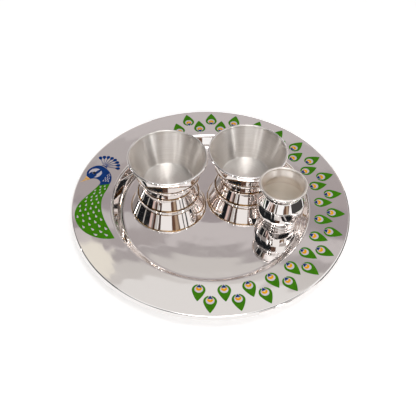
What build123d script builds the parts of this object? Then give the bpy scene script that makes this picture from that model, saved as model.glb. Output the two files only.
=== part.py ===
"""A puja thali: a polished plate with an enamelled rim that carries two bowls and a small kalash.

Millimetres, +Z up, +X to the right and +Y away from the front. The origin is the middle of the plate's
underside. The plate and the vessels are spun sheet: each section is the middle line of its sheet, given
the bends and the gauge. The plate is as large as the vessels that stand in its well need it to be.
"""
from build123d import *
import math
import os

# Plate, spun from one round of sheet (bends are radii of the sheet's middle line)
plate_sheet = 1.2
well_depth = 11.0
wall_lean = 6.0
foot_bend = 7.0
shoulder_bend = 3.4
rim_width = 36.75
edge_bend = 1.6
edge_drop = 3.0

# Bowls, two alike
bowl_sheet = 1.2
bowl_height = 33.3
bowl_base_radius = 24.0
bowl_base_bend = 2.4
bowl_rim_radius = 37.5
bowl_lip = 1.8

# Half-round band soldered round each bowl
band_height = 13.5
band_width = 4.0
band_depth = 1.1
solder_film = 0.05

# Kalash, two spun shells on a foot ring
kalash_sheet = 0.9
kalash_height = 44.0
kalash_mouth_radius = 21.3
kalash_lip = 2.1
kalash_neck_radius = 16.9
kalash_neck_drop = 7.4
kalash_neck_bend = 3.2
kalash_belly_radius = 21.2
kalash_crease_height = 26.0
kalash_crease_bend = 1.2
seam_drop = 1.5
kalash_belly_turn = 14.0
kalash_belly_bend = 20.0
kalash_base_radius = 16.0
kalash_base_bend = 3.0
foot_height = 3.0
foot_seat = 1.6
foot_width = 3.4
foot_round = 1.2

# Places of the vessels on the floor of the well
bowl_gap = 0.5
pair_offset = 39.5
pair_shift = 2.4
pair_angle = 99.6
floor_margin = 0.8
kalash_margin = 0.3
kalash_gap = 1.5

# Enamel on the rim
enamel = 0.15
colour_gap = 0.25

# Feather eyes, in two staggered rows
outer_row_count = 17
outer_row_start = -88.5
inner_row_count = 18
inner_row_start = -93.9
feather_pitch = 12.0
feather_margin = 2.4
row_step = 10.7
feather_length = 16.6
feather_width = 11.3
eye_radius = 3.7
eye_centre = 4.6
notch_width = 3.6
crescent_radius = 2.45
crescent_centre = 3.6
pupil_radius = 0.85
pupil_shift = 0.25
heart_width = 3.8
heart_length = 2.8

# Peacock: each point is (along the rim, out from the well), and the figure is scaled to fill the rim
figure_margin = 1.4
throat_end = (13.6, 13.8)
nape_end = (17.9, 4.2)
breast_front = [(2.0, 19.8), (-8.8, 27.2), (-20.2, 31.2), (-31.4, 29.8), (-42.0, 24.8), (-49.4, 18.4)]
breast_corner = (-58.3, 3.8)
breast_back = [(10.4, 4.8), (0.2, 6.8), (-12.0, 7.7), (-26.9, 6.6), (-42.3, 4.7)]
drop_rows = 13
drop_length = 4.4
drop_width = 2.2
drop_pitch = 6.2
drop_growth = 0.65
nape = [(26.7, 5.0), (35.5, 12.0)]
crown = (38.4, 20.0)
brow = [(37.4, 24.0), (33.6, 27.9)]
forehead = (26.0, 29.6)
beak_top = (22.9, 28.4)
beak_foot = (20.1, 23.3)
beak_tip = (14.8, 31.6)
jaw = [(21.2, 16.6), (18.4, 13.5)]
patch_centre = (28.3, 21.8)
patch_radius = 6.0
socket_centre = (25.6, 23.4)
socket_radius = 3.6
pupil_centre = (28.0, 22.9)
pupil_size = 1.5
mark_front = [(32.0, 11.0), (17.6, 12.8)]
mark_back = [(32.0, 7.2), (18.6, 5.0)]
mark_rows = 6
mark_length = 2.7
mark_width = 1.1
mark_pitch = 2.4
mark_growth = 0.8
crest_root = (38.9, 18.4)
crest_count = 8
crest_turn = -47.0
crest_step = -17.4
crest_length = 14.0
crest_growth = 0.25
crest_gather = 2.4
plume_length = 5.2
plume_width = 3.5
stem_width = 0.45


def bend_tangent(bend, turn):
    """How far a bend of this radius reaches along each side of a corner that turns by this angle."""
    return bend * math.tan(turn / 2)


# Middle line of a bowl's sheet, and the flat disc that it stands on
bowl_base_line = bowl_sheet / 2
bowl_lip_centre = (bowl_rim_radius - bowl_lip / 2, bowl_height - bowl_lip / 2)
bowl_wall_turn = math.atan2(bowl_lip_centre[1] - bowl_base_line, bowl_lip_centre[0] - bowl_base_radius)
bowl_flat_radius = bowl_base_radius - bend_tangent(bowl_base_bend, bowl_wall_turn)

# Layout worked out from the sizes above
pair_half = bowl_rim_radius + bowl_gap / 2
right_bowl_reach = math.hypot(pair_offset, pair_half + pair_shift)
floor_radius = right_bowl_reach + bowl_flat_radius + floor_margin
wall_turn = math.atan2(well_depth, wall_lean)
floor_corner = floor_radius + bend_tangent(foot_bend, wall_turn)
rim_corner = floor_corner + wall_lean
rim_inner = rim_corner + bend_tangent(shoulder_bend, wall_turn)
edge_line = rim_corner + rim_width
rim_outer = edge_line - bend_tangent(edge_bend, math.pi / 2)
rim_top = plate_sheet + well_depth
rim_middle = (rim_inner + rim_outer) / 2
figure_scale = (rim_outer - rim_inner) / (beak_tip[1] + figure_margin)

# Flat underside of the kalash, and the foot ring that takes its seat there
kalash_belly_line = kalash_belly_radius - kalash_sheet / 2
kalash_bottom_line = foot_height + kalash_sheet / 2
kalash_wall_turn = math.atan2(kalash_belly_turn - kalash_bottom_line, kalash_belly_line - kalash_base_radius)
kalash_flat_radius = kalash_base_radius - bend_tangent(kalash_base_bend, kalash_wall_turn)
foot_inner_radius = kalash_flat_radius - foot_seat
foot_outer_radius = foot_inner_radius + foot_width


def offset_corners(corners, distance):
    """The corners of a line moved this far to its left, with the way each corner turns."""
    points = [Vector(*corner) for corner in corners]
    ways = [(b - a).normalized() for a, b in zip(points, points[1:])]
    lefts = [Vector(-way.Y, way.X) for way in ways]
    moved = [points[0] + lefts[0] * distance]
    turns = []
    for point, way, after, left, left_after in zip(points[1:], ways, ways[1:], lefts, lefts[1:]):
        mitre = (left + left_after) / (1 + left.dot(left_after))
        moved.append(point + mitre * distance)
        turns.append(math.copysign(1, way.X * after.Y - way.Y * after.X))
    moved.append(points[-1] + lefts[-1] * distance)
    return moved, turns


def sheet_section(corners, bends, gauge):
    """Section of a spun sheet in the radius and height plane, from its middle line and its bends."""
    faces = []
    for side in (gauge / 2, -gauge / 2):
        moved, turns = offset_corners(corners, side)
        radii = [bend - turn * side for bend, turn in zip(bends, turns)]
        faces.append(FilletPolyline(*moved, radius=radii))
    inner, outer = faces
    start = Line(inner @ 0, outer @ 0)
    end = Line(inner @ 1, outer @ 1)
    return make_face(inner.edges() + outer.edges() + start.edges() + end.edges())


def spin(section):
    """The solid of revolution of a section drawn in radius and height."""
    return revolve(Plane.XZ * section, Axis.Z)


def spun_vessel(corners, bends, gauge, lip):
    """A spun sheet whose last corner is the middle of a rolled lip."""
    roll = Pos(*corners[-1]) * Circle(lip / 2)
    return spin(sheet_section(corners, bends, gauge) + roll)


def thali_plate():
    """The plate: floor, well wall, flat rim and turned-down edge, all of one sheet."""
    floor = plate_sheet / 2
    rim = floor + well_depth
    well = [(0, floor), (floor_corner, floor), (rim_corner, rim)]
    edge = [(edge_line, rim), (edge_line, rim - edge_drop)]
    return spin(sheet_section(well + edge, [foot_bend, shoulder_bend, edge_bend], plate_sheet))


def bowl_corners():
    """Middle line of a bowl's sheet: flat base, straight flaring wall, lip."""
    return [(0, bowl_base_line), (bowl_base_radius, bowl_base_line), bowl_lip_centre]


def bowl():
    """One bowl, standing on the origin."""
    return spun_vessel(bowl_corners(), [bowl_base_bend], bowl_sheet, bowl_lip)


def bowl_band():
    """The half-round band, a film of solder away from the bowl's wall."""
    _, foot, lip = [Vector(*corner) for corner in bowl_corners()]
    wall = lip - foot
    way = wall.normalized()
    outward = Vector(way.Y, -way.X)
    middle = foot + wall * ((band_height - foot.Y) / wall.Y) + outward * (bowl_sheet / 2 + solder_film)
    low = middle - way * (band_width / 2)
    high = middle + way * (band_width / 2)
    crest = middle + outward * band_depth
    return spin(make_face(ThreePointArc(low, crest, high).edges() + Line(low, high).edges()))


def kalash_neck():
    """Upper shell of the kalash: seam, crease, shoulder, neck and rolled lip."""
    seam = (kalash_belly_line, kalash_crease_height - seam_drop)
    crease = (kalash_belly_line, kalash_crease_height)
    lip = (kalash_mouth_radius - kalash_lip / 2, kalash_height - kalash_lip / 2)
    neck = (kalash_neck_radius - kalash_sheet / 2, lip[1] - kalash_neck_drop)
    bends = [kalash_crease_bend, kalash_neck_bend]
    return spun_vessel([seam, crease, neck, lip], bends, kalash_sheet, kalash_lip)


def kalash_body():
    """Lower shell of the kalash: flat bottom, rounded wall, straight edge at the seam."""
    middle = (0, kalash_bottom_line)
    base = (kalash_base_radius, kalash_bottom_line)
    turn = (kalash_belly_line, kalash_belly_turn)
    seam = (kalash_belly_line, kalash_crease_height - seam_drop)
    corners = [middle, base, turn, seam]
    return spin(sheet_section(corners, [kalash_base_bend, kalash_belly_bend], kalash_sheet))


def kalash_foot():
    """Foot ring of the kalash, rounded on its outside."""
    ring = Pos(foot_inner_radius + foot_width / 2, foot_height / 2) * Rectangle(foot_width, foot_height)
    return spin(fillet(ring.vertices().group_by(Axis.X)[-1], foot_round))


def polar(radius, angle):
    """The place at this radius and angle in degrees from the plate's middle, on its floor."""
    turn = math.radians(angle)
    return Pos(radius * math.cos(turn), radius * math.sin(turn), plate_sheet)


def vessel_places():
    """Places of the left bowl, the right bowl and the kalash on the floor of the well."""
    left_reach = math.hypot(pair_offset, pair_half - pair_shift)
    left_angle = pair_angle + math.degrees(math.atan2(pair_half - pair_shift, pair_offset))
    right_angle = pair_angle - math.degrees(math.atan2(pair_half + pair_shift, pair_offset))
    reach = floor_radius - foot_outer_radius - kalash_margin
    apart = bowl_rim_radius + kalash_mouth_radius + kalash_gap
    cosine = (right_bowl_reach**2 + reach**2 - apart**2) / (2 * right_bowl_reach * reach)
    kalash_angle = right_angle - math.degrees(math.acos(cosine))
    return polar(left_reach, left_angle), polar(right_bowl_reach, right_angle), polar(reach, kalash_angle)


def enamel_field(sketch):
    """A layer of enamel on the rim, from its outline seen from above."""
    return extrude(Pos(0, 0, rim_top) * sketch, enamel)


def teardrop(length, width):
    """A drop with its round end at the origin and its point along +X."""
    radius = width / 2
    slant = math.asin(radius / (length - radius))
    touch = (radius + radius * math.sin(slant), radius * math.cos(slant))
    low_touch = (touch[0], -touch[1])
    point = (length, 0)
    sides = Line(touch, point).edges() + Line(low_touch, point).edges()
    return make_face(ThreePointArc(touch, (0, 0), low_touch).edges() + sides)


def feather_places():
    """Inner ends of the feathers on the rim, each turned so that +X points outwards."""
    outer_reach = rim_outer - feather_margin - feather_length
    rows = [(outer_row_count, outer_row_start, outer_reach)]
    rows.append((inner_row_count, inner_row_start, outer_reach - row_step))
    return [
        Rot(0, 0, start + feather_pitch * number) * Pos(reach, 0)
        for count, start, reach in rows
        for number in range(count)
    ]


def feather_sketches():
    """Green leaf, orange crescent and blue heart of one feather eye."""
    eye = Pos(eye_centre, 0) * Circle(eye_radius)
    notch = Pos(eye_centre / 2, 0) * Rectangle(eye_centre, notch_width)
    leaf = teardrop(feather_length, feather_width) - eye - notch
    crescent_end = heart_length + colour_gap
    pupil = Pos(crescent_end + pupil_shift, 0) * Circle(pupil_radius)
    moon = Pos(crescent_centre, 0) * Circle(crescent_radius)
    cover = Pos(crescent_end - crescent_radius, 0) * Rectangle(2 * crescent_radius, 2 * crescent_radius)
    half = heart_width / 2
    triangle = Polyline((0, 0), (heart_length, half), (heart_length, -half), close=True)
    return leaf, moon - pupil - cover, make_face(triangle.edges()) - pupil


def repeated(sketch, places):
    """One node of separate solids: the same enamel field at each place."""
    field = enamel_field(sketch)
    return Compound(children=[place * field for place in places])


def rim_point(point):
    """Plan position of a figure point, which follows the rim round from the left-hand side."""
    along, out = point
    radius = rim_inner + out * figure_scale
    turn = math.pi - along * figure_scale / rim_middle
    return Vector(radius * math.cos(turn), radius * math.sin(turn))


def rim_curve(*points):
    """A smooth line through figure points."""
    return Spline(*[rim_point(point) for point in points])


def scatter(left, right, rows, length, width, pitch, growth):
    """Staggered rows of drops between two lines, each drop pointing back along the flow of the lines.

    The drops of the last row have the given length, width and pitch; the first row's are growth times those,
    and the rows lie closer in the same measure.
    """
    steps = [growth + (1 - growth) * row / (rows - 1) for row in range(rows)]
    drops = []
    for row, step in enumerate(steps):
        share = (sum(steps[:row]) + step / 2) / (sum(steps) + steps[-1])
        scale = step * figure_scale
        drop = Pos(-length * scale / 2, 0) * teardrop(length * scale, width * scale)
        slots = max(2, round((left @ share - right @ share).length / (pitch * scale)))
        odd = row % 2
        for column in range(slots - 1 + odd):
            side = (column + 1 - odd / 2) / slots
            spot = (left @ share) * (1 - side) + (right @ share) * side
            flow = (left % share) * (1 - side) + (right % share) * side
            turn = math.degrees(math.atan2(-flow.Y, -flow.X))
            drops.append(Pos(spot.X, spot.Y) * Rot(0, 0, turn) * drop)
    return drops


def peacock_breast():
    """Green breast and lower neck, with bare drops left in the enamel."""
    front = rim_curve(throat_end, *breast_front, breast_corner)
    back = rim_curve(nape_end, *breast_back, breast_corner)
    collar = Line(front @ 0, back @ 0)
    field = make_face(front.edges() + back.edges() + collar.edges())
    drops = scatter(front, back, drop_rows, drop_length, drop_width, drop_pitch, drop_growth)
    return enamel_field(field - drops)


def lifted(point):
    """A figure point moved up the rim by the bare gap between two colours."""
    return (point[0] + colour_gap, point[1])


def peacock_head():
    """Blue head and upper neck, with a bare patch round the eye and bare marks on the nape."""
    back = rim_curve(lifted(nape_end), *nape, crown)
    top = rim_curve(crown, *brow, forehead)
    front = Polyline(rim_point(forehead), rim_point(beak_top), rim_point(beak_foot))
    throat = rim_curve(beak_foot, *jaw, lifted(throat_end))
    collar = Line(throat @ 1, back @ 0)
    field = make_face(back.edges() + top.edges() + front.edges() + throat.edges() + collar.edges())
    patch = Pos(rim_point(patch_centre)) * Circle(patch_radius * figure_scale)
    socket = Pos(rim_point(socket_centre)) * Circle(socket_radius * figure_scale)
    eye = Pos(rim_point(pupil_centre)) * Circle((pupil_size + colour_gap) * figure_scale)
    mark_lines = [Line(rim_point(top), rim_point(low)) for top, low in (mark_front, mark_back)]
    marks = scatter(*mark_lines, mark_rows, mark_length, mark_width, mark_pitch, mark_growth)
    return enamel_field(field - (patch - socket) - eye - marks)


def peacock_eye():
    """Black eye."""
    return enamel_field(Pos(rim_point(pupil_centre)) * Circle(pupil_size * figure_scale))


def peacock_beak():
    """Orange beak, a bare gap away from the blue."""
    top = rim_point((beak_top[0] - colour_gap, beak_top[1] + colour_gap))
    foot = rim_point((beak_foot[0] - colour_gap, beak_foot[1] + colour_gap))
    tip = rim_point(beak_tip)
    ridge = RadiusArc(top, tip, (tip - top).length)
    return enamel_field(make_face(ridge.edges() + Polyline(tip, foot, top).edges()))


def peacock_crest():
    """Blue crest: a fan of plumes on thin stems, each its own solid."""
    root = rim_point(crest_root)
    outward = math.degrees(math.atan2(root.Y, root.X))
    plumes = []
    for number in range(crest_count):
        length = (crest_length + crest_growth * number) * figure_scale
        blade = plume_length * figure_scale
        gather = crest_gather * figure_scale
        stem_length = length - blade / 2 - gather
        stem = Pos(gather + stem_length / 2, 0) * Rectangle(stem_length, stem_width * figure_scale)
        plume = Pos(length, 0) * Rot(0, 0, 180) * teardrop(blade, plume_width * figure_scale)
        turn = Rot(0, 0, outward + crest_turn + crest_step * number)
        plumes.append(enamel_field(Pos(root.X, root.Y) * turn * (stem + plume)))
    return Compound(children=plumes)


def build():
    """Every node of the thali, by name."""
    left, right, pot = vessel_places()
    feathers = feather_places()
    leaf, crescent, heart = feather_sketches()
    return {
        "thali_plate": thali_plate(),
        "left_bowl": left * bowl(),
        "left_bowl_band": left * bowl_band(),
        "right_bowl": right * bowl(),
        "right_bowl_band": right * bowl_band(),
        "kalash_neck": pot * kalash_neck(),
        "kalash_body": pot * kalash_body(),
        "kalash_foot": pot * kalash_foot(),
        "feather_greens": repeated(leaf, feathers),
        "feather_crescents": repeated(crescent, feathers),
        "feather_hearts": repeated(heart, feathers),
        "peacock_breast": peacock_breast(),
        "peacock_head": peacock_head(),
        "peacock_crest": peacock_crest(),
        "peacock_beak": peacock_beak(),
        "peacock_eye": peacock_eye(),
    }


os.makedirs("parts", exist_ok=True)
for name, shape in build().items():
    export_step(shape, f"parts/{name}.step")
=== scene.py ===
"""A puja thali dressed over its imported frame: spun mirror silver, satin vessel insides and cold enamel.

Sizes are in millimetres in the classes and become metres in the meshes.
+Z is up and +Y is away from the front.
"""

import logging
import math
from dataclasses import dataclass, replace
from enum import Enum
from functools import partial

import bmesh
import bpy
from bpy.types import Material, Mesh, Node, NodeSocket, NodeTree, Object
from mathutils import Matrix, Vector


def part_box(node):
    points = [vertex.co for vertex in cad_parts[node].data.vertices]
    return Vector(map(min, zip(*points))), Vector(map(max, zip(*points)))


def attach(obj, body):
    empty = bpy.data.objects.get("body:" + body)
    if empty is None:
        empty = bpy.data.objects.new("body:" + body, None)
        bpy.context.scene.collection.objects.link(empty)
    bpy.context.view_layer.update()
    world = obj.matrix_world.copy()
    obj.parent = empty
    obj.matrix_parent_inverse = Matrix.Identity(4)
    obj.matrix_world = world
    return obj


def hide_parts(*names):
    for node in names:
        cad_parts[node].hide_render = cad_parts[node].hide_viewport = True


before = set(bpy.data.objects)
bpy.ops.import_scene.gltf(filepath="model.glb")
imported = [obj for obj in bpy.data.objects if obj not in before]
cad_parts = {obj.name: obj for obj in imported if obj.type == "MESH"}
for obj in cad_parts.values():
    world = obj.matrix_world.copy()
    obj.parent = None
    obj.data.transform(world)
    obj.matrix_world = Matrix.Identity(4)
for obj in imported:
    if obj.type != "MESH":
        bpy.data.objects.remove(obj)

MM = 0.001
WELD = 1e-6
ARC_STEP = 5.0
HOLD = 0.08
LONG_RUN = 0.32
SHORTEST_RUN = 0.02
SATIN_LIMIT = 0.9
LIP_SIDES = 40
VESSEL_STEPS = 192
ENAMEL_WALL = 0.6
Point = tuple[float, float]
log = logging.getLogger("thali")


class Body(Enum):
    """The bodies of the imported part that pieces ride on."""

    PLATE = "plate"
    LEFT = "left_katori"
    RIGHT = "right_katori"
    KALASH = "kalash"


class Slot(Enum):
    """The record's material slots."""

    PLATE = "plate_silver"
    VESSEL = "vessel_silver"
    GREEN = "green_enamel"
    ORANGE = "orange_enamel"
    BLUE = "blue_enamel"
    BLACK = "black_enamel"


def linear(code: str) -> tuple[float, float, float, float]:
    """Turns an sRGB hex colour into linear light.

    Args:
        code: Six hex digits.
    Returns:
        Red, green, blue and an alpha of one.
    """
    shares = [int(code[place:place + 2], 16) / 255 for place in (0, 2, 4)]
    light = [share / 12.92 if share <= 0.04045 else ((share + 0.055) / 1.055) ** 2.4 for share in shares]
    return (*light, 1.0)


def add(tree: NodeTree, kind: str, inputs: dict | None = None, stops: tuple = (), **settings) -> Node:
    """Adds one node with its settings and links.

    Args:
        tree: Tree that gets the node.
        kind: Blender's name for the kind of node.
        inputs: For each input, by name or number, a node or an output to link, or a value to set.
        stops: Places from 0 to 1 with hex colours, for the two ends of a colour ramp.
        settings: Properties of the node.
    Returns:
        The new node.
    """
    node = tree.nodes.new(kind)
    for name, value in settings.items():
        setattr(node, name, value)
    for key, value in (inputs or {}).items():
        source = value.outputs[0] if isinstance(value, Node) else value
        if isinstance(source, NodeSocket):
            tree.links.new(source, node.inputs[key])
        else:
            node.inputs[key].default_value = source
    for number, (place, code) in enumerate(stops):
        node.color_ramp.elements[number].position = place
        node.color_ramp.elements[number].color = linear(code)
    return node


def new_material(name: str) -> tuple[Material, partial]:
    """Makes an empty node material.

    Args:
        name: Name of the real material and how it was made.
    Returns:
        The material, and the function that adds nodes to it.
    """
    material = bpy.data.materials.new(name)
    material.use_nodes = True
    material.node_tree.nodes.clear()
    return material, partial(add, material.node_tree)


def new_group(name: str, inputs: dict[str, str]) -> tuple[NodeTree, partial, bpy.types.NodeOutputs]:
    """Makes a geometry node group with one output.

    Args:
        name: Name of the group.
        inputs: Kind of socket for each input, with the geometry first.
    Returns:
        The group, the function that adds nodes to it, and what its inputs give.
    """
    tree = bpy.data.node_groups.new(name, "GeometryNodeTree")
    for label, kind in inputs.items():
        tree.interface.new_socket(label, in_out="INPUT", socket_type=f"NodeSocket{kind}")
    tree.interface.new_socket("Shape", in_out="OUTPUT", socket_type="NodeSocketGeometry")
    return tree, partial(add, tree), add(tree, "NodeGroupInput").outputs


def put(name: str, data: bpy.types.ID) -> Object:
    """Adds an object to the scene.

    Args:
        name: Name of the object.
        data: Its mesh, lamp or lens.
    Returns:
        The object, at the origin.
    """
    made = bpy.data.objects.new(name, data)
    bpy.context.scene.collection.objects.link(made)
    return made


@dataclass(frozen=True)
class MirrorSilver:
    """Silver plate buffed to a mirror, which shows the studio, bent a little by the hand-spun sheet."""

    name: str
    colour: str = "f5f1ef"
    roughness: float = 0.03
    haze: float = 0.065
    haze_size: float = 14.0
    wave_length: float = 55.0
    wave_depth: float = 0.22
    ring_pitch: float = 13.0
    ring_depth: float = 0.01
    creases: tuple = ()
    crease_width: float = 0.9
    # Colour of the shade painted along the creases
    crease_shade: str = "a98a60"

    def material(self) -> Material:
        """Builds the material.

        Returns:
            The finished material.
        """
        made, node = new_material(self.name)
        place = node("ShaderNodeTexCoord").outputs["Object"]
        spots = {"Vector": place, "Scale": 1 / (self.wave_length * MM), "Detail": 1.0}
        wave = node("ShaderNodeTexNoise", spots)
        # At a scale of 1 the rings of a wave node are tau / 20 apart
        pitch = math.tau / 20 / (self.ring_pitch * MM)
        lathe = {"Vector": place, "Scale": pitch, "Distortion": 1.5, "Detail": 0.0}
        rings = node("ShaderNodeTexWave", lathe, wave_type="RINGS", rings_direction="Z").outputs["Fac"]
        wiping = {"Vector": place, "Scale": 1 / (self.haze_size * MM), "Detail": 6.0, "Distortion": 1.2}
        smear = node("ShaderNodeTexNoise", wiping)
        bend = node("ShaderNodeBump", {"Height": wave, "Distance": self.wave_depth * MM})
        ripple = node("ShaderNodeBump", {"Height": rings, "Distance": self.ring_depth * MM, "Normal": bend})
        limits = {"From Min": 0.4, "From Max": 0.75, "To Min": self.roughness, "To Max": self.haze}
        rough = node("ShaderNodeMapRange", {"Value": smear, **limits})
        tint = linear(self.colour)
        if self.creases:
            height = node("ShaderNodeSeparateXYZ", {"Vector": place}).outputs["Z"]
        # Painted shade: a brown line is painted along each crease, in place of the shade that gathers there
        for crease in self.creases:
            line = {0: height, 1: crease * MM, 2: self.crease_width / 2 * MM}
            near = node("ShaderNodeMath", line, operation="COMPARE")
            mixed = {"Factor": near, "A": tint, "B": linear(self.crease_shade)}
            tint = node("ShaderNodeMix", mixed, data_type="RGBA").outputs["Result"]
        looks = {"Base Color": tint, "Metallic": 1.0, "Roughness": rough, "Normal": ripple}
        node("ShaderNodeOutputMaterial", {"Surface": node("ShaderNodeBsdfPrincipled", looks)})
        return made


@dataclass(frozen=True)
class SatinSilver:
    """Silver plate as it was scoured in the lathe: rings round the vessel draw light out along its wall.

    Real rings are too fine to show in the render, so these are drawn coarser.
    """

    name: str
    colour: str = "f0ece8"
    groove_colour: str = "e2ddd8"
    roughness: float = 0.33
    rough_spread: float = 0.06
    anisotropy: float = 0.95
    groove: float = 0.3
    groove_depth: float = 0.0005

    def material(self) -> Material:
        """Builds the material on the vessel's own UV map, which runs round and along the sheet.

        Returns:
            The finished material.
        """
        made, node = new_material(self.name)
        uv = node("ShaderNodeUVMap", uv_map="UVMap")
        stretch = node("ShaderNodeMapping", {"Vector": uv, "Scale": (2.0, 1 / (self.groove * MM), 1.0)})
        spots = {"Vector": stretch, "Scale": 1.0, "Detail": 3.0}
        rings = node("ShaderNodeTexNoise", spots, noise_dimensions="2D")
        stops = ((0.35, self.groove_colour), (0.65, self.colour))
        least = self.roughness - self.rough_spread / 2
        most = self.roughness + self.rough_spread / 2
        looks = {
            "Base Color": node("ShaderNodeValToRGB", {"Fac": rings}, stops),
            "Metallic": 1.0,
            "Roughness": node("ShaderNodeMapRange", {"Value": rings, "To Min": least, "To Max": most}),
            "Anisotropic": self.anisotropy,
            "Anisotropic Rotation": 0.25,
            "Tangent": node("ShaderNodeTangent", direction_type="UV_MAP", uv_map="UVMap"),
            "Normal": node("ShaderNodeBump", {"Height": rings, "Distance": self.groove_depth * MM}),
        }
        node("ShaderNodeOutputMaterial", {"Surface": node("ShaderNodeBsdfPrincipled", looks)})
        return made


@dataclass(frozen=True)
class MattSilver:
    """Silver plate that the buffing wheel didn't reach, left matt in the openings of the enamel."""

    name: str
    colour: str = "e3dde4"
    roughness: float = 0.42
    grain: float = 0.4
    grain_depth: float = 0.006

    def material(self) -> Material:
        """Builds the material.

        Returns:
            The finished material.
        """
        made, node = new_material(self.name)
        place = node("ShaderNodeTexCoord").outputs["Object"]
        grain = node("ShaderNodeTexNoise", {"Vector": place, "Scale": 1 / (self.grain * MM)})
        looks = {
            "Base Color": linear(self.colour),
            "Metallic": 1.0,
            "Roughness": self.roughness,
            "Normal": node("ShaderNodeBump", {"Height": grain, "Distance": self.grain_depth * MM}),
        }
        node("ShaderNodeOutputMaterial", {"Surface": node("ShaderNodeBsdfPrincipled", looks)})
        return made


@dataclass(frozen=True)
class ColdEnamel:
    """Epoxy enamel flowed into its field and cured: glossy, with drifting pigment and a soft orange peel."""

    name: str
    colour: str
    thin_colour: str
    roughness: float = 0.16
    gloss: float = 0.1
    drift: float = 3.5
    peel: float = 0.9
    peel_depth: float = 0.006

    def material(self) -> Material:
        """Builds the material.

        Returns:
            The finished material.
        """
        made, node = new_material(self.name)
        place = node("ShaderNodeTexCoord").outputs["Object"]
        spots = {"Vector": place, "Scale": 1 / (self.drift * MM), "Detail": 4.0, "Distortion": 0.8}
        drift = node("ShaderNodeTexNoise", spots)
        peel = node("ShaderNodeTexNoise", {"Vector": place, "Scale": 1 / (self.peel * MM)})
        stops = ((0.35, self.colour), (0.7, self.thin_colour))
        looks = {
            "Base Color": node("ShaderNodeValToRGB", {"Fac": drift}, stops),
            "Roughness": self.roughness,
            "IOR": 1.5,
            "Specular IOR Level": self.gloss,
            "Normal": node("ShaderNodeBump", {"Height": peel, "Distance": self.peel_depth * MM}),
        }
        node("ShaderNodeOutputMaterial", {"Surface": node("ShaderNodeBsdfPrincipled", looks)})
        return made


def arc(middle: Point, radius: float, start: float, end: float, sides: int) -> list[Point]:
    """Points on an arc.

    Args:
        middle: Middle of the arc.
        radius: Its radius.
        start: Angle of the first point, in radians.
        end: Angle of the last point.
        sides: Number of sides.
    Returns:
        The points, with both ends.
    """
    angles = [start + (end - start) * side / sides for side in range(sides + 1)]
    return [(middle[0] + radius * math.cos(angle), middle[1] + radius * math.sin(angle)) for angle in angles]


def bow(start: Point, end: Point, rise: float, sides: int) -> list[Point]:
    """Points on an arc from one point to another.

    Args:
        start: First point.
        end: Last point.
        rise: How far the arc stands out, to the left of the way from start to end.
        sides: Number of sides.
    Returns:
        The points, with both ends.
    """
    half = math.dist(start, end) / 2
    radius = (half**2 + rise**2) / (2 * rise)
    left = Vector((start[1] - end[1], end[0] - start[0])).normalized()
    middle = (Vector(start) + Vector(end)) / 2 + left * (rise - radius)
    first = math.atan2(start[1] - middle.y, start[0] - middle.x)
    return arc(middle, radius, first, first - 2 * math.asin(half / radius), sides)


@dataclass(frozen=True)
class Corner:
    """One corner of a section, in radius and height, with the radius of its bend and the finish before it."""

    r: float
    z: float
    bend: float = 0.0
    inside: bool = False


def offset_line(line: list[Corner], distance: float, inside: bool) -> list[Corner]:
    """Moves the middle line of a sheet to one of its faces, with bends that stay concentric.

    Args:
        line: Corners of the middle line.
        distance: How far to the left of the line the face lies.
        inside: Whether the face has the finish of a vessel's inside.
    Returns:
        The corners of the face.
    """
    points = [Vector((corner.r, corner.z)) for corner in line]
    ways = [(b - a).normalized() for a, b in zip(points, points[1:])]
    face = []
    for corner, point, before, after in zip(line, points, ways[:1] + ways, ways + ways[-1:]):
        lefts = Vector((-before.y - after.y, before.x + after.x))
        spot = point + lefts * (distance / (1 + before.dot(after)))
        turn = before.cross(after)
        # The bend gets tighter on the side that the line turns to, and the line's ends have none
        tighter = math.copysign(1, turn) * distance if turn else 0.0
        face.append(Corner(*spot, corner.bend - tighter, inside))
    return face


def trace(corners: list[Corner]) -> list[tuple[float, float, bool]]:
    """Turns the corners of a section into points, with arcs at the bends.

    Args:
        corners: Corners in order.
    Returns:
        Radius, height and finish of each point.
    """
    places = [Vector((corner.r, corner.z)) for corner in corners]
    ways = [(b - a).normalized() for a, b in zip(places, places[1:])]
    traced = [(*places[0], corners[0].inside)]
    for corner, place, way, after in zip(corners[1:], places[1:], ways, ways[1:] + ways[-1:]):
        turn = way.angle_signed(after) * -1
        start = place - way * corner.bend * math.tan(abs(turn) / 2)
        length = (start - Vector(traced[-1][:2])).length
        # A point close to each end of a straight run holds it flat
        if length > LONG_RUN:
            for spot in (start - way * (length - HOLD), start - way * HOLD):
                traced.append((*spot, corner.inside))
        if length > SHORTEST_RUN:
            traced.append((*start, corner.inside))
        if after == way or corner.bend <= 0:
            continue
        steps = max(2, math.ceil(math.degrees(abs(turn)) / ARC_STEP))
        middle = start + Vector((-way.y, way.x)) * math.copysign(corner.bend, turn)
        spoke = start - middle
        first = math.atan2(spoke.y, spoke.x)
        bend = arc(middle, corner.bend, first, first + turn, steps)
        traced.extend((*spot, corner.inside) for spot in bend[1:])
    return traced


def sheet_outline(line: list[Corner], gauge: float, cut: float, satin: bool) -> list[Corner]:
    """Outline of a spun sheet: the upper face outwards, the cut edge, and the lower face back to the middle.

    Args:
        line: Middle line from the axis or a seam outwards.
        gauge: Thickness of the sheet.
        cut: Radius that the edges of the cut are broken to.
        satin: Whether the upper face has the finish of a vessel's inside.
    Returns:
        Corners of the outline.
    """
    upper = offset_line(line, gauge / 2, satin)
    lower = offset_line(line, -gauge / 2, False)
    upper[-1] = replace(upper[-1], bend=cut)
    lower[-1] = replace(lower[-1], bend=cut)
    return upper + lower[::-1]


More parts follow.
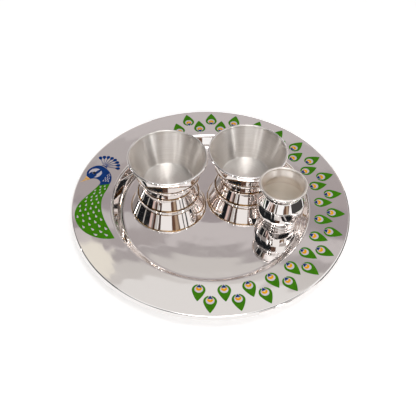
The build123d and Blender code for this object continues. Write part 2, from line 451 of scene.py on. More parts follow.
def lipped_outline(line: list[Corner], gauge: float, lip: float, over: float) -> list[Corner]:
    """Outline of a vessel's spun sheet, whose far end is rolled to a round lip.

    Args:
        line: Middle line, ending in the middle of the lip.
        gauge: Thickness of the sheet.
        lip: Diameter of the lip.
        over: Share of the lip's round that has the finish of the vessel's inside.
    Returns:
        Corners of the outline, with the lip as a ring of short sides.
    """
    upper = offset_line(line, gauge / 2, True)
    lower = offset_line(line, -gauge / 2, False)
    wall, end = line[-2:]
    ahead = math.atan2(end.z - wall.z, end.r - wall.r)
    sweep = math.pi - math.asin(gauge / lip)
    ring = arc((end.r, end.z), lip / 2, ahead + sweep, ahead - sweep, LIP_SIDES)
    rolled = [Corner(*spot, 0.0, side <= over * LIP_SIDES) for side, spot in enumerate(ring)]
    return upper[:-1] + rolled + lower[-2::-1]


def spin_tree() -> NodeTree:
    """Builds the tree that spins a profile, drawn in radius and height, into a closed shell.

    Returns:
        A node group with the inputs Profile, Steps, Centre, Inside Finish and Outside Finish.
    """
    finishes = {"Inside Finish": "Material", "Outside Finish": "Material"}
    inputs = {"Profile": "Geometry", "Steps": "Int", "Centre": "Vector", **finishes}
    tree, node, given = new_group("Spun sheet", inputs)
    size = node("GeometryNodeAttributeDomainSize", {"Geometry": given["Profile"]}, component="MESH")
    columns = node("FunctionNodeIntegerMath", {0: given["Steps"], 1: 1}, operation="ADD")
    grid = node("GeometryNodeMeshGrid", {"Vertices X": size.outputs["Point Count"], "Vertices Y": columns})
    index = node("GeometryNodeInputIndex")
    row = node("FunctionNodeIntegerMath", {0: index, 1: columns}, operation="DIVIDE_FLOOR")
    column = node("FunctionNodeIntegerMath", {0: index, 1: columns}, operation="MODULO")
    turn = node("ShaderNodeMath", {0: column, 1: given["Steps"]}, operation="DIVIDE")
    angle = node("ShaderNodeMath", {0: turn, 1: math.tau}, operation="MULTIPLY")
    spot = node("GeometryNodeInputPosition")
    along = node("GeometryNodeInputNamedAttribute", {"Name": "along"}, data_type="FLOAT")
    satin = node("GeometryNodeInputNamedAttribute", {"Name": "satin"}, data_type="FLOAT")
    point, distance, finish = (
        node("GeometryNodeSampleIndex", {"Geometry": given["Profile"], "Value": value, "Index": row},
             data_type=kind, domain="POINT")
        for value, kind in ((spot, "FLOAT_VECTOR"), (along, "FLOAT"), (satin, "FLOAT"))
    )
    turned = node("ShaderNodeVectorRotate", {"Vector": point, "Angle": angle}, rotation_type="Z_AXIS")
    placed = {"Geometry": grid, "Position": turned, "Offset": given["Centre"]}
    shell = node("GeometryNodeSetPosition", placed)
    marks = {"Geometry": shell, "Name": "satin", "Value": finish}
    marked = node("GeometryNodeStoreNamedAttribute", marks, data_type="FLOAT", domain="POINT")
    flat = node("ShaderNodeCombineXYZ", {"X": turn, "Y": distance})
    corner = node("GeometryNodeFieldOnDomain", {0: flat}, data_type="FLOAT_VECTOR", domain="POINT")
    chart = {"Geometry": marked, "Name": "UVMap", "Value": corner}
    mapped = node("GeometryNodeStoreNamedAttribute", chart, data_type="FLOAT2", domain="CORNER")
    merged = node("GeometryNodeMergeByDistance", {"Geometry": mapped, "Distance": WELD})
    smooth = node("GeometryNodeSetShadeSmooth", {"Geometry": merged})
    outer = node("GeometryNodeSetMaterial", {"Geometry": smooth, "Material": given["Outside Finish"]})
    within = node("FunctionNodeCompare", {0: satin, 1: SATIN_LIMIT}, operation="GREATER_THAN")
    lining = {"Geometry": outer, "Selection": within, "Material": given["Inside Finish"]}
    node("NodeGroupOutput", {"Shape": node("GeometryNodeSetMaterial", lining)})
    return tree


def feather_tree() -> NodeTree:
    """Builds the tree that repeats one enamel field along two staggered rows on the rim.

    Returns:
        A node group with the inputs Field, Pitch, Height and Finish, and with Count, Start and Reach for the
        Outer and the Inner row. Angles are in radians.
    """
    rows = ("Outer", "Inner")
    inputs = {"Field": "Geometry", "Pitch": "Float", "Height": "Float", "Finish": "Material"}
    for row in rows:
        inputs |= {f"{row} Count": "Int", f"{row} Start": "Float", f"{row} Reach": "Float"}
    tree, node, given = new_group("Feather rows", inputs)
    index = node("GeometryNodeInputIndex")
    joined = node("GeometryNodeJoinGeometry")
    for row in rows:
        count, start, reach = (given[f"{row} {what}"] for what in ("Count", "Start", "Reach"))
        angle = node("ShaderNodeMath", {0: index, 1: given["Pitch"], 2: start}, operation="MULTIPLY_ADD")
        out = node("ShaderNodeCombineXYZ", {"X": reach, "Z": given["Height"]})
        spot = node("ShaderNodeVectorRotate", {"Vector": out, "Angle": angle}, rotation_type="Z_AXIS")
        points = node("GeometryNodePoints", {"Count": count, "Position": spot})
        facing = node("ShaderNodeCombineXYZ", {"Z": angle})
        laid = {"Points": points, "Instance": given["Field"], "Rotation": facing}
        tree.links.new(node("GeometryNodeInstanceOnPoints", laid).outputs[0], joined.inputs[0])
    real = node("GeometryNodeRealizeInstances", {"Geometry": joined})
    dressed = node("GeometryNodeSetMaterial", {"Geometry": real, "Material": given["Finish"]})
    node("NodeGroupOutput", {"Shape": dressed})
    return tree


def baked(name: str, source: Mesh, tree: NodeTree, values: dict) -> Object:
    """Runs a node tree on a mesh and keeps the result as a plain mesh.

    Args:
        name: Name of the piece.
        source: Mesh that the tree works on.
        tree: Geometry node group.
        values: Value for each of the group's inputs, by its name.
    Returns:
        The piece, at the origin, with its faces pointing outwards.
    """
    worker = put(f"{name}_worker", source)
    modifier = worker.modifiers.new("Shape", "NODES")
    modifier.node_group = tree
    for item in tree.interface.items_tree:
        if item.in_out == "INPUT" and item.name in values:
            modifier[item.identifier] = values[item.name]
    evaluated = worker.evaluated_get(bpy.context.evaluated_depsgraph_get())
    mesh = bpy.data.meshes.new_from_object(evaluated)
    bpy.data.objects.remove(worker)
    bpy.data.meshes.remove(source)
    mesh.name = name
    # The tree keeps the source's empty slot first, and no face uses it
    mesh.materials.pop(index=0)
    shape = bmesh.new()
    shape.from_mesh(mesh)
    bmesh.ops.recalc_face_normals(shape, faces=shape.faces)
    shape.to_mesh(mesh)
    shape.free()
    return put(name, mesh)


def seat(piece: Object, body: Body, slot: Slot, *nodes: str) -> None:
    """Puts a finished piece on its body, in place of CAD nodes if there are any, and reports it.

    Args:
        piece: The finished piece.
        body: Body that carries it.
        slot: Material slot that its finish belongs to. Not used.
        nodes: CAD nodes that it stands for.
    """
    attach(piece, body.value)
    if nodes:
        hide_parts(*nodes)
    log.info("%s: %d faces on %s", piece.name, len(piece.data.polygons), body.value)


@dataclass(frozen=True)
class Spinner:
    """Spins outlines into shells and dresses them."""

    tree: NodeTree
    inside: Material
    outside: Material
    steps: int = 256

    def shell(self, name: str, outline: list[Corner], centre: Vector) -> Object:
        """Spins one outline.

        Args:
            name: Name of the piece.
            outline: Corners of its section in millimetres, closed at the axis or on itself.
            centre: Place of its axis on its base, in metres.
        Returns:
            The piece.
        """
        points = trace(outline)
        mesh = bpy.data.meshes.new(name)
        edges = [(number, number + 1) for number in range(len(points) - 1)]
        mesh.from_pydata([(r * MM, 0, z * MM) for r, z, _ in points], edges, [])
        along = [0.0]
        for before, after in zip(points, points[1:]):
            along.append(along[-1] + math.dist(before[:2], after[:2]) * MM)
        for label, values in (("along", along), ("satin", [float(point[2]) for point in points])):
            mesh.attributes.new(label, "FLOAT", "POINT").data.foreach_set("value", values)
        values = {"Steps": self.steps, "Centre": centre}
        values |= {"Inside Finish": self.inside, "Outside Finish": self.outside}
        return baked(name, mesh, self.tree, values)


def base_centre(node: str) -> Vector:
    """Middle of a CAD node's box, at the height of its lowest point."""
    low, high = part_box(node)
    return Vector(((low.x + high.x) / 2, (low.y + high.y) / 2, low.z))


@dataclass(frozen=True)
class Plate:
    """The thali itself: one round of sheet, spun to a floor, a well wall, a flat rim and a turned edge."""

    sheet: float = 1.2
    well_depth: float = 11.0
    wall_lean: float = 6.0
    foot_bend: float = 7.0
    shoulder_bend: float = 3.4
    rim_width: float = 36.75
    edge_bend: float = 1.6
    edge_drop: float = 3.0
    cut_round: float = 0.3

    def build(self, spinner: Spinner) -> None:
        """Builds the plate and seats it.

        Args:
            spinner: Spins and dresses the sheet.
        """
        low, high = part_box("thali_plate")
        edge = (high.x - low.x) / 2 / MM - self.sheet / 2
        rim_corner = edge - self.rim_width
        floor = self.sheet / 2
        rim = floor + self.well_depth
        line = [
            Corner(0, floor),
            Corner(rim_corner - self.wall_lean, floor, self.foot_bend),
            Corner(rim_corner, rim, self.shoulder_bend),
            Corner(edge, rim, self.edge_bend),
            Corner(edge, rim - self.edge_drop),
        ]
        outline = sheet_outline(line, self.sheet, self.cut_round, False)
        seat(spinner.shell("plate_sheet", outline, Vector()), Body.PLATE, Slot.PLATE, "thali_plate")


@dataclass(frozen=True)
class Katori:
    """One bowl: spun sheet with a rolled lip, and a half-round band soldered round it."""

    side: str
    body: Body
    sheet: float = 1.2
    height: float = 33.3
    base_radius: float = 24.0
    base_bend: float = 2.4
    rim_radius: float = 37.5
    lip: float = 2.5
    lip_satin: float = 0.42
    band_height: float = 13.5
    band_width: float = 4.0
    band_depth: float = 1.1
    band_sides: int = 24
    solder_film: float = 0.05

    def line(self) -> list[Corner]:
        """Middle line of the bowl's sheet."""
        base = self.sheet / 2
        lip = Corner(self.rim_radius - self.lip / 2, self.height - self.lip / 2)
        return [Corner(0, base), Corner(self.base_radius, base, self.base_bend), lip]

    def band(self) -> list[Corner]:
        """Outline of the band: its flat back against the wall and its round front."""
        foot, lip = [Vector((corner.r, corner.z)) for corner in self.line()[1:]]
        way = (lip - foot).normalized()
        outward = Vector((way.y, -way.x))
        share = (self.band_height - foot.y) / (lip.y - foot.y)
        middle = foot.lerp(lip, share) + outward * (self.sheet / 2 + self.solder_film)
        half = way * (self.band_width / 2)
        round_front = bow(middle + half, middle - half, self.band_depth, self.band_sides)
        outline = [Corner(*spot) for spot in reversed(round_front)]
        return outline + outline[:1]

    def build(self, spinner: Spinner) -> None:
        """Builds the bowl and its band and seats them.

        Args:
            spinner: Spins and dresses the sheet.
        """
        node = f"{self.side}_bowl"
        centre = base_centre(node)
        outline = lipped_outline(self.line(), self.sheet, self.lip, self.lip_satin)
        seat(spinner.shell(f"{self.side}_katori", outline, centre), self.body, Slot.VESSEL, node)
        band = spinner.shell(f"{self.side}_katori_band", self.band(), centre)
        seat(band, self.body, Slot.VESSEL, f"{node}_band")


@dataclass(frozen=True)
class Kalash:
    """The pot: an upper and a lower spun shell brazed at the belly, on a foot ring."""

    sheet: float = 0.9
    height: float = 44.0
    mouth_radius: float = 21.6
    lip: float = 2.7
    lip_satin: float = 0.55
    neck_radius: float = 16.9
    neck_drop: float = 7.4
    neck_bend: float = 3.2
    belly_radius: float = 21.2
    crease_height: float = 26.0
    crease_bend: float = 1.2
    seam_drop: float = 1.5
    belly_turn: float = 14.0
    belly_bend: float = 20.0
    base_radius: float = 16.0
    base_bend: float = 3.0
    foot_height: float = 3.0
    foot_seat: float = 1.6
    foot_width: float = 3.4
    foot_round: float = 1.2
    cut_round: float = 0.1

    def seam(self) -> Corner:
        """Where the middle lines of the two shells meet."""
        return Corner(self.belly_radius - self.sheet / 2, self.crease_height - self.seam_drop)

    def neck_line(self) -> list[Corner]:
        """Middle line of the upper shell, from the seam to the lip."""
        seam = self.seam()
        lip = Corner(self.mouth_radius - self.lip / 2, self.height - self.lip / 2)
        neck = Corner(self.neck_radius - self.sheet / 2, lip.z - self.neck_drop, self.neck_bend)
        return [seam, Corner(seam.r, self.crease_height, self.crease_bend), neck, lip]

    def body_line(self) -> list[Corner]:
        """Middle line of the lower shell, from its middle to the seam."""
        seam = self.seam()
        bottom = self.foot_height + self.sheet / 2
        turn = Corner(seam.r, self.belly_turn, self.belly_bend)
        return [Corner(0, bottom), Corner(self.base_radius, bottom, self.base_bend), turn, seam]

    def foot(self) -> list[Corner]:
        """Outline of the foot ring, rounded on its outside."""
        _, base, turn, _ = self.body_line()
        slope = math.atan2(turn.z - base.z, turn.r - base.r)
        inner = base.r - self.base_bend * math.tan(slope / 2) - self.foot_seat
        outer = inner + self.foot_width
        start = Corner(inner, self.foot_height / 2)
        return [
            start,
            Corner(inner, self.foot_height, self.cut_round),
            Corner(outer, self.foot_height, self.foot_round),
            Corner(outer, 0, self.foot_round),
            Corner(inner, 0, self.cut_round),
            start,
        ]

    def build(self, upper: Spinner, lower: Spinner) -> None:
        """Builds the two shells and the foot and seats them.

        Args:
            upper: Spins and dresses the neck.
            lower: Spins and dresses the body and the foot.
        """
        centre = base_centre("kalash_foot")
        neck = lipped_outline(self.neck_line(), self.sheet, self.lip, self.lip_satin)
        body = sheet_outline(self.body_line(), self.sheet, self.cut_round, True)
        shells = (("neck", neck + neck[:1], upper), ("body", body, lower), ("foot", self.foot(), lower))
        for name, outline, spinner in shells:
            piece = spinner.shell(f"pot_{name}", outline, centre)
            seat(piece, Body.KALASH, Slot.VESSEL, f"kalash_{name}")


def enamel_field(name: str, outline: list[Point], height: float, shoulder: float) -> Mesh:
    """One enamel field that stands on the rim, with a sloped shoulder where it flowed to its edge.

    Args:
        name: Name of the mesh.
        outline: Its outline in millimetres.
        height: Thickness of the enamel.
        shoulder: Width of the slope.
    Returns:
        A closed mesh.
    """
    points = [Vector(point) * MM for point in outline]
    if sum(a.cross(b) for a, b in zip(points, points[1:] + points[:1])) < 0:
        points.reverse()
    count = len(points)
    inset = []
    for number, point in enumerate(points):
        before = (point - points[number - 1]).normalized()
        after = (points[(number + 1) % count] - point).normalized()
        inward = Vector((-before.y - after.y, before.x + after.x)).normalized()
        inset.append(point + inward * (shoulder * MM))
    rings = ((points, 0.0), (points, height * ENAMEL_WALL * MM), (inset, height * MM))
    corners = [(*point, rise) for ring, rise in rings for point in ring]
    faces = [range(count)[::-1], range(2 * count, 3 * count)]
    for here in range(2 * count):
        beside = here + 1 if (here + 1) % count else here + 1 - count
        faces.append((here, beside, beside + count, here + count))
    mesh = bpy.data.meshes.new(name)
    mesh.from_pydata(corners, [], faces)
    return mesh


def outer_line(node: str) -> list[Point]:
    """Outline of a flat CAD field, without the openings in it.

    Args:
        node: Name of the CAD node.
    Returns:
        Points of the longest closed line round its top, in millimetres.
    """
    shape = bmesh.new()
    shape.from_mesh(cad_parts[node].data)
    bmesh.ops.remove_doubles(shape, verts=shape.verts, dist=WELD)
    top = max(vert.co.z for vert in shape.verts) - WELD
    flat = {face for face in shape.faces if min(vert.co.z for vert in face.verts) > top}
    rims = [edge for edge in shape.edges if len(flat.intersection(edge.link_faces)) == 1]
    open_edges = dict.fromkeys(rims)
    lines = []
    while open_edges:
        start, here = open_edges.popitem()[0].verts
        line = [start]
        while here != start:
            line.append(here)
            edge = next(edge for edge in here.link_edges if edge in open_edges)
            del open_edges[edge]
            here = edge.other_vert(here)
        lines.append([(vert.co.x / MM, vert.co.y / MM) for vert in line])
    shape.free()
    return max(lines, key=lambda line: sum(math.dist(a, b) for a, b in zip(line, line[1:])))


@dataclass(frozen=True)
class Feathers:
    """Two staggered rows of peacock-feather eyes: green leaf, orange crescent and blue heart, in enamel."""

    outer_count: int = 17
    outer_start: float = -88.5
    inner_count: int = 18
    inner_start: float = -93.9
    pitch: float = 12.0
    row_step: float = 10.7
    length: float = 17.0
    width: float = 11.3
    side_lean: float = 0.62
    eye_radius: float = 3.6
    eye_centre: float = 4.9
    notch_width: float = 2.6
    crescent_radius: float = 2.6
    crescent_centre: float = 3.9
    pupil_radius: float = 0.7
    pupil_shift: float = 0.25
    heart_width: float = 4.5
    heart_length: float = 3.2
    heart_point: float = 0.1
    colour_gap: float = 0.25
    thickness: float = 0.15
    shoulder: float = 0.12
    ground_height: float = 0.03
    end_sides: int = 14
    flank_sides: int = 10
    eye_sides: int = 28
    disc_sides: int = 22
    crescent_bite_sides: int = 14
    heart_bite_sides: int = 10
    ground_sides: int = 48

    def leaf(self) -> list[Point]:
        """Outline of the leaf: a full drop with its point outwards, opened by the round eye and its notch."""
        radius = self.width / 2
        lean = math.asin(radius / (self.length - radius)) * self.side_lean
        half = self.notch_width / 2
        mouth = math.pi - math.asin(half / self.eye_radius)
        lip = math.pi - math.asin(half / radius)
        tip = (self.length, 0)
        round_end = arc((radius, 0), radius, lip, math.pi / 2 - lean, self.end_sides)
        start = round_end[-1]
        drop = math.atan2(start[1], tip[0] - start[0])
        rise = math.dist(start, tip) / 2 * math.tan((drop - lean) / 2)
        outside = round_end + bow(start, tip, rise, self.flank_sides)[1:-1]
        back = [(x, -y) for x, y in reversed(outside)]
        eye = arc((self.eye_centre, 0), self.eye_radius, -mouth, mouth, self.eye_sides)
        return outside + [tip] + back + eye

    def crescent(self) -> list[Point]:
        """Outline of the crescent: a disc cut off straight behind and bitten by the pupil."""
        end = self.heart_length + self.colour_gap
        cut = math.acos((end - self.crescent_centre) / self.crescent_radius)
        disc = arc((self.crescent_centre, 0), self.crescent_radius, -cut, cut, self.disc_sides)
        edge = math.acos(-self.pupil_shift / self.pupil_radius)
        pupil = (end + self.pupil_shift, 0)
        return disc + arc(pupil, self.pupil_radius, edge, -edge, self.crescent_bite_sides)

    def heart(self) -> list[Point]:
        """Outline of the heart: a triangle with its point inwards, bitten by the pupil."""
        half = self.heart_width / 2
        back = self.colour_gap + self.pupil_shift
        edge = math.acos(back / self.pupil_radius)
        pupil = (self.heart_length + back, 0)
        bite = arc(pupil, self.pupil_radius, math.pi + edge, math.pi - edge, self.heart_bite_sides)
        return [(-self.heart_point, 0), (self.heart_length, -half), *bite, (self.heart_length, half)]

    def ground(self) -> list[Point]:
        """Outline of the matt ground in the eye, which ends under the leaf."""
        radius = self.eye_radius + self.shoulder
        return arc((self.eye_centre, 0), radius, 0, math.tau, self.ground_sides)[:-1]

    def build(self, finishes: dict[Slot, Material]) -> None:
        """Builds the three colours of the feathers and the ground in their eyes, and seats them.

        Args:
            finishes: Enamel for each colour's slot, and the ground's finish for the plate's.
        """
        tree = feather_tree()
        low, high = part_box("feather_greens")
        reach = max(high.x, high.y, -low.y) - self.length * MM
        values = {
            "Outer Count": self.outer_count,
            "Outer Start": math.radians(self.outer_start),
            "Outer Reach": reach,
            "Inner Count": self.inner_count,
            "Inner Start": math.radians(self.inner_start),
            "Inner Reach": reach - self.row_step * MM,
            "Pitch": math.radians(self.pitch),
            "Height": low.z,
        }
        fields = (
            ("leaves", "greens", self.leaf(), Slot.GREEN),
            ("crescents", "crescents", self.crescent(), Slot.ORANGE),
            ("hearts", "hearts", self.heart(), Slot.BLUE),
        )
        for name, node, outline, slot in fields:
            field = enamel_field(name, outline, self.thickness, self.shoulder)
            piece = baked(f"feather_eye_{name}", field, tree, {**values, "Finish": finishes[slot]})
            seat(piece, Body.PLATE, slot, f"feather_{node}")
        field = enamel_field("grounds", self.ground(), self.ground_height, self.ground_height)
        piece = baked("feather_eye_grounds", field, tree, {**values, "Finish": finishes[Slot.PLATE]})
        seat(piece, Body.PLATE, Slot.PLATE)


@dataclass(frozen=True)
class Peacock:
    """The peacock on the rim: its CAD fields dressed in enamel, over a matt ground in their openings."""

    fields: tuple = (
        ("peacock_breast", Slot.GREEN),
        ("peacock_head", Slot.BLUE),
        ("peacock_crest", Slot.BLUE),
        ("peacock_beak", Slot.ORANGE),
        ("peacock_eye", Slot.BLACK),
    )
    pierced: tuple = ("peacock_breast", "peacock_head")
    ground_height: float = 0.03
    mark_height: float = 0.12
    mark_sides: int = 14
    lid_start: Point = (-110.1, 27.3)
    lid_end: Point = (-104.5, 34.5)
    lid_rise: float = 1.9
    lid_fall: float = 1.4
    root_start: Point = (-105.4, 39.9)
    root_end: Point = (-99.6, 35.7)
    root_rise: float = 2.0
    root_fall: float = 0.7

    def lid(self) -> list[Point]:
        """Outline of the blue lid that divides the bare patch behind the eye: two bows, meeting in points."""
        upper = bow(self.lid_start, self.lid_end, self.lid_rise, self.mark_sides)
        lower = bow(self.lid_end, self.lid_start, self.lid_fall, self.mark_sides)
        return upper[:-1] + lower[:-1]

    def root(self) -> list[Point]:
        """Outline of the crest's root: a blue crescent on top of the head, where the plumes' stems meet."""
        upper = bow(self.root_start, self.root_end, self.root_rise, self.mark_sides)
        lower = bow(self.root_start, self.root_end, self.root_fall, self.mark_sides)
        return upper + lower[-2:0:-1]

    def lay(self, name: str, outline: list[Point], height: float, finishes: dict, slot: Slot) -> None:
        """Lays one thin field on the rim, under or between the CAD fields.

        Args:
            name: Name of the piece.
            outline: Its outline in millimetres.
            height: Its thickness.
            finishes: Finish for each slot.
            slot: Its slot.
        """
        field = enamel_field(name, outline, height, height)
        field.transform(Matrix.Translation((0, 0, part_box("peacock_head")[0].z)))
        field.materials.append(finishes[slot])
        seat(put(name, field), Body.PLATE, slot)

    def dress(self, finishes: dict[Slot, Material], thin: Material) -> None:
        """Gives each field its enamel, and lays the ground under those with openings.

        Args:
            finishes: Enamel for each colour's slot, and the ground's finish for the plate's.
            thin: Enamel of the beak.
        """
        for node, slot in self.fields:
            finish = thin if node == "peacock_beak" else finishes[slot]
            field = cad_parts[node]
            field.data.materials.clear()
            field.data.materials.append(finish)
            log.info("%s: dressed in %s", node, finish.name)
        for node in self.pierced:
            self.lay(f"{node}_ground", outer_line(node), self.ground_height, finishes, Slot.PLATE)
        for name, outline in (("peacock_lid", self.lid()), ("peacock_crest_root", self.root())):
            self.lay(name, outline, self.mark_height, finishes, Slot.BLUE)


def toward(azimuth: float, elevation: float) -> Vector:
    """Way from the middle of the table.

    Args:
        azimuth: Degrees from the front, to the right.
        elevation: Degrees above the table.
    Returns:
        The way, with a length of one.
    """
    turn = math.radians(azimuth)
    rise = math.radians(elevation)
    return Vector((math.sin(turn) * math.cos(rise), -math.cos(turn) * math.cos(rise), math.sin(rise)))


@dataclass(frozen=True)
class Softbox:
    """A rectangular studio lamp, aimed at the middle of the plate: sizes in metres and power in watts."""

    name: str
    azimuth: float
    elevation: float
    distance: float
    width: float
    height: float
    power: float

    def build(self) -> None:
        """Adds the lamp."""
        lamp = bpy.data.lights.new(self.name, "AREA")
        lamp.shape = "RECTANGLE"
        lamp.size = self.width
        lamp.size_y = self.height
        lamp.energy = self.power
        stand = put(self.name, lamp)
        stand.location = toward(self.azimuth, self.elevation) * self.distance
        stand.rotation_euler = (-stand.location).to_track_quat("-Z", "Y").to_euler()


@dataclass(frozen=True)
class Card:
    """A plain card round the table: degrees from the front, to the right, and degrees above the table.

    Its tilt is how many degrees it rises for each degree to the right, and its reach is in metres.
    """

    start: float
    end: float
    low: float
    high: float
    colour: str
    tilt: float = 0.0
    reach: float = 8.0


@dataclass(frozen=True)
class Studio:
    """A plain white studio: floor, soft lamps, and cards far round the table for the silver to show."""

    floor_radius: float = 3.0
    floor_sides: int = 96
    floor_colour: str = "f2f2f2"
    floor_lift: float = 0.36
    card_spacing: float = 0.004
    card_step: float = 4.0
    bounces: int = 12
    lamps: tuple = (
        Softbox("softbox_top", 20, 84, 1.4, 0.5, 0.45, 2.8),
        Softbox("tube_right", 50, 28, 1.3, 0.05, 0.45, 1.2),
        Softbox("tube_left", -24, 28, 1.3, 0.025, 0.4, 0.8),
        Softbox("tube_middle_left", -38, 28, 1.3, 0.025, 0.4, 0.8),
        Softbox("tube_far_left", -106, 28, 1.3, 0.025, 0.4, 0.8),
    )
    # Each card stands a little nearer than those before it, and covers them
    cards: tuple = (
        # Wall behind the table, in bands from low to high, with its paler patches at the left
        Card(135, 225, 30, 41.5, "c4bebe"),
        Card(135, 225, 41.5, 43.5, "b5afaf"),
        Card(135, 225, 43.5, 46.2, "aaa2a2"),
        Card(135, 225, 46.2, 48.8, "9f9799"),
        Card(135, 225, 48.8, 51, "c8c2c2"),
        Card(135, 225, 51, 52, "aca6a6"),
        Card(135, 225, 52, 54, "cdc9c6"),
        Card(135, 225, 54, 62, "e5e3e1"),
        Card(187, 199, 47.6, 48.8, "c4bfbf", -0.25),
        Card(186, 196, 49.3, 50.8, "aba4a4"),
        Card(194.2, 199, 50.1, 53, "ebe6db", -0.1),
        Card(193.5, 197, 51, 52.2, "ebe6db"),
        # Line of the far edge of the room, low at both sides
        Card(-180, -30, 0, 2.4, "75675c"),
        Card(8, 180, 0, 2.4, "75675c"),
        # Dark hangings in front at the left, with pale gaps
        Card(-140, -28, 2, 40, "8f8a88"),
        Card(-140, -28, 38, 64, "222427"),
        Card(-114, -46, 11.5, 18.5, "1b1d20", -0.25),
        Card(-112, -60, 2, 12.5, "1e2023"),
        Card(-66, -2, 47.8, 74, "1e2124"),
        Card(-24, 2, 47.8, 68, "5e463b"),
        Card(-110, -107, 28, 46, "c3c8cb", -0.2),
        Card(-98, -95, 0, 26, "dcdcda"),
        Card(-83, -80, 30, 47.5, "e6ebee", 0.4),
        Card(-72, -69, 0, 22, "cbc8c3", -0.3),
        Card(-49, -41, 12, 47.5, "e4e3e2", 0.1),
        Card(-36, -18, 18, 43, "5c534d"),
        Card(-34, -29, 4, 24, "d2d0cd", -0.4),
        Card(-51, -44, 0, 12, "dcc3bd"),
        Card(-40, -35, 0, 14, "4a2f26"),
        Card(-25, -19, 0, 15, "4b3a33", 0.4),
        # Brown and dark things in front at the right, before a grey hanging
        Card(14, 74, 24, 44, "b8b2af"),
        Card(12, 21, 0, 20, "6b4f41", -0.3),
        Card(21, 29, 0, 14, "b59e88"),
        Card(29, 33, 0, 24, "7d6a5d"),
        Card(44, 47, 0, 13, "4f4d4c", 0.5),
        Card(54, 58, 0, 17, "454446", -0.4),
        Card(76, 92, 0, 26, "6f5c50", 0.2),
        Card(92, 104, 0, 21, "b39f8f"),
        Card(112, 150, 0, 27, "b9aca1"),
        Card(58, 100, 52, 74, "2d2c2e"),
        # Grey things low behind the table
        Card(158, 205, 0, 29, "8f8785"),
        Card(212, 220, 0, 30, "35353a"),
    )
    # Low cards close to the plate: dark at both sides for the pot's shoulder, white for the plate's edge
    flags: tuple = (
        Card(56, 110, 0.3, 12, "474545", 0, 0.165),
        Card(-108, -56, 0.2, 8, "1b1d20", 0, 0.23),
        Card(-51, -44, 0.2, 8, "d9c0ba", 0, 0.23),
        Card(-41, -35, 0.2, 8, "5a4036", 0, 0.23),
        Card(-150, 20, 0.1, 6.8, "ffffff", 0, 0.1316),
    )

    def floor(self) -> None:
        """Adds a white floor that keeps the shadow of the plate."""
        mesh = bpy.data.meshes.new("studio_floor")
        shape = bmesh.new()
        bmesh.ops.create_circle(shape, cap_ends=True, segments=self.floor_sides, radius=self.floor_radius)
        shape.to_mesh(mesh)
        shape.free()
        made, node = new_material("Painted board, matt white")
        seen = node("ShaderNodeLightPath").outputs
        shown = seen["Is Camera Ray"]
        for ray in ("Is Glossy Ray", "Is Transmission Ray"):
            shown = node("ShaderNodeMath", {0: shown, 1: seen[ray]}, operation="MAXIMUM")
        paint = node("ShaderNodeBsdfDiffuse", {"Color": linear(self.floor_colour)})
        strength = node("ShaderNodeMath", {0: shown, 1: self.floor_lift}, operation="MULTIPLY")
        lift = node("ShaderNodeEmission", {"Strength": strength})
        node("ShaderNodeOutputMaterial", {"Surface": node("ShaderNodeAddShader", {0: paint, 1: lift})})
        mesh.materials.append(made)
        floor = put("studio_floor", mesh)

    def stand(self, name: str, cards: tuple, near: bool) -> None:
        """Stands cards round the table, where the camera doesn't see them.

        Args:
            name: Name of the set of cards.
            cards: The cards, each a little nearer than the one before.
            near: Whether they stand so near that they would take light from the floor.
        """
        corners, faces, shades = [], [], []
        for place, card in enumerate(cards):
            reach = card.reach * (1 - self.card_spacing * place)
            columns = math.ceil((card.end - card.start) / self.card_step)
            rows = math.ceil((card.high - card.low) / self.card_step)
            first = len(corners)
            for number in range((rows + 1) * (columns + 1)):
                row, column = divmod(number, columns + 1)
                aside = (card.end - card.start) * (column / columns - 0.5)
                rise = card.low + (card.high - card.low) * row / rows + card.tilt * aside
                corners.append(toward((card.start + card.end) / 2 + aside, rise) * reach)
                if row < rows and column < columns:
                    here = first + number
                    faces.append((here, here + 1, here + columns + 2, here + columns + 1))
                    shades.extend(linear(card.colour))
        mesh = bpy.data.meshes.new(name)
        mesh.from_pydata(corners, [], faces)
        mesh.attributes.new("shade", "FLOAT_COLOR", "FACE").data.foreach_set("color", shades)
        made, node = new_material("Painted card, evenly lit")
        light = node("ShaderNodeEmission", {"Color": node("ShaderNodeAttribute", attribute_name="shade")})
        node("ShaderNodeOutputMaterial", {"Surface": light})
        mesh.materials.append(made)
        stood = put(name, mesh)
        stood.visible_camera = False
        stood.visible_diffuse = not near
        stood.visible_shadow = not near

    def room(self) -> None:
        """Makes the room plain white, to the camera and to the silver alike."""
        world = bpy.data.worlds.new("studio_room")
        world.use_nodes = True
        tree = world.node_tree
        tree.nodes.clear()
        light = add(tree, "ShaderNodeBackground", {"Color": linear("ffffff")})
        add(tree, "ShaderNodeOutputWorld", {"Surface": light})
        bpy.context.scene.world = world

    def build(self) -> None:
        """Adds the floor, the cards, the room and the lamps."""
        self.floor()
        self.stand("studio_cards", self.cards, False)
        self.stand("studio_flags", self.flags, True)
        self.room()
        for lamp in self.lamps:
            lamp.build()
        scene = bpy.context.scene
        scene.view_settings.view_transform = "Standard"
        # Light leaves the pot through its mouth only after many turns
        scene.cycles.glossy_bounces = self.bounces


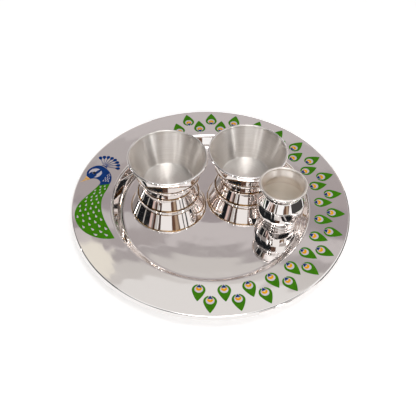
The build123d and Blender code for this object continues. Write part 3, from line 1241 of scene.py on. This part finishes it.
@dataclass(frozen=True)
class Camera:
    """The camera, at the photograph's place: found from the rim's outline and the feather tips."""

    place: tuple = (0.0, -433.8, 478.7)
    aim: tuple = (-2.2, -9.2, 12.2)
    roll: float = 2.18
    focal_pixels: float = 697.0
    frame_pixels: float = 416.0
    sensor: float = 36.0
    nearest: float = 0.01

    def build(self) -> None:
        """Adds the camera and makes it the scene's own."""
        lens = bpy.data.cameras.new("camera")
        lens.sensor_width = self.sensor
        lens.lens = self.focal_pixels / self.frame_pixels * self.sensor
        lens.clip_start = self.nearest
        camera = put("camera", lens)
        place = Vector(self.place) * MM
        upright = (place - Vector(self.aim) * MM).to_track_quat("Z", "Y").to_matrix().to_4x4()
        rolled = upright @ Matrix.Rotation(math.radians(self.roll), 4, "Z")
        camera.matrix_world = Matrix.Translation(place) @ rolled
        bpy.context.scene.camera = camera


def main() -> None:
    """Builds the thali, the studio and the camera."""
    logging.basicConfig(level=logging.INFO, format="%(message)s")
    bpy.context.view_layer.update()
    tree = spin_tree()
    plate_mirror = MirrorSilver("Silver plate, mirror buffed, on spun sheet").material()
    small_mirror = MirrorSilver("Silver plate, mirror buffed, on small vessels", roughness=0.014, haze=0.034,
                                wave_length=24.0, wave_depth=0.03, ring_depth=0.001)
    pot_mirror = small_mirror.material()
    # The bowls' creases, at the foot, at both edges of the band and under the lip, get painted shade
    bowl_mirror = replace(small_mirror, name="Silver plate, mirror buffed, with polish left in the creases",
                          creases=(1.7, 12.5, 16.4, 31.9)).material()
    bowl_satin = SatinSilver("Silver plate, satin, ringed by the lathe").material()
    neck_satin = SatinSilver("Silver plate, half polished, in the pot's neck", "f8f2ec", "eee7e0",
                             roughness=0.36, rough_spread=0.06, anisotropy=0.5).material()
    pot_satin = SatinSilver("Silver plate, satin, warm with wear in the pot", "fffbf5", "fdf8f1",
                            roughness=0.55, rough_spread=0.08, anisotropy=0.5).material()
    finishes = {
        Slot.GREEN: ColdEnamel("Cold enamel, leaf green", "387a00", "458806").material(),
        Slot.ORANGE: ColdEnamel("Cold enamel, saffron", "f3a800", "f7b20a").material(),
        Slot.BLUE: ColdEnamel("Cold enamel, peacock blue", "062f6c", "0c3c80").material(),
        Slot.BLACK: ColdEnamel("Cold enamel, black", "100e10", "1c1a1c").material(),
    }
    Plate().build(Spinner(tree, plate_mirror, plate_mirror))
    bowls = Spinner(tree, bowl_satin, bowl_mirror, VESSEL_STEPS)
    Katori("left", Body.LEFT).build(bowls)
    Katori("right", Body.RIGHT).build(bowls)
    neck = Spinner(tree, neck_satin, pot_mirror, VESSEL_STEPS)
    Kalash().build(neck, replace(neck, inside=pot_satin))
    finishes[Slot.PLATE] = MattSilver("Silver plate, matt ground under the enamel").material()
    Feathers().build(finishes)
    thin = ColdEnamel("Cold enamel, saffron laid thin", "dc9a22", "d9bb93", drift=1.6).material()
    Peacock().dress(finishes, thin)
    Studio().build()
    Camera().build()


if __name__ == "__main__":
    main()
